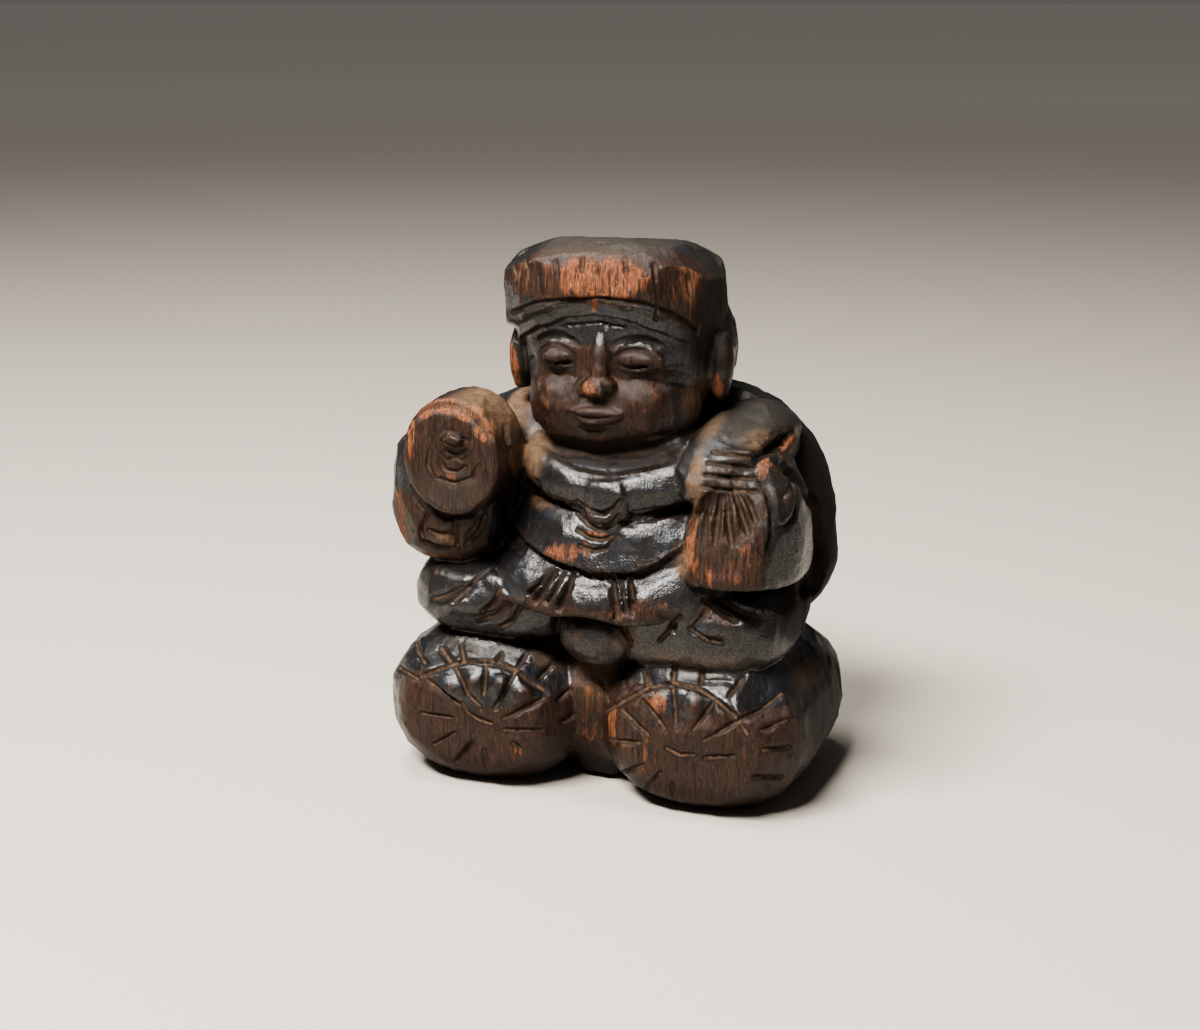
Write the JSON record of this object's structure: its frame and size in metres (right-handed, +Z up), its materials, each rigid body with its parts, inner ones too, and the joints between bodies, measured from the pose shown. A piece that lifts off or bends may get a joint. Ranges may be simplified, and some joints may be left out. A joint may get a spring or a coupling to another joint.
{
  "type": "daikoku figure",
  "caption": "Small carved wood figure of Daikoku seated on two rice bales, with a raised mallet in one hand and a sack over the other shoulder",
  "frame": {"origin": "on the table under the middle of the figure's box, midway between its left and right, front and back ends", "axes": "+Z up through the cap, -Y towards the face and the front ends of the bales, +X to the side of the sack, which is the figure's left"},
  "size_m": [0.0466, 0.029, 0.0579],
  "materials": {
    "lacquered_wood": "dark blue-black lacquer over red-brown wood, worn bare at the edges, semi-gloss"
  },
  "bodies": {
    "root": {"daikoku_figure": "lacquered_wood"}
  },
  "joints": []
}
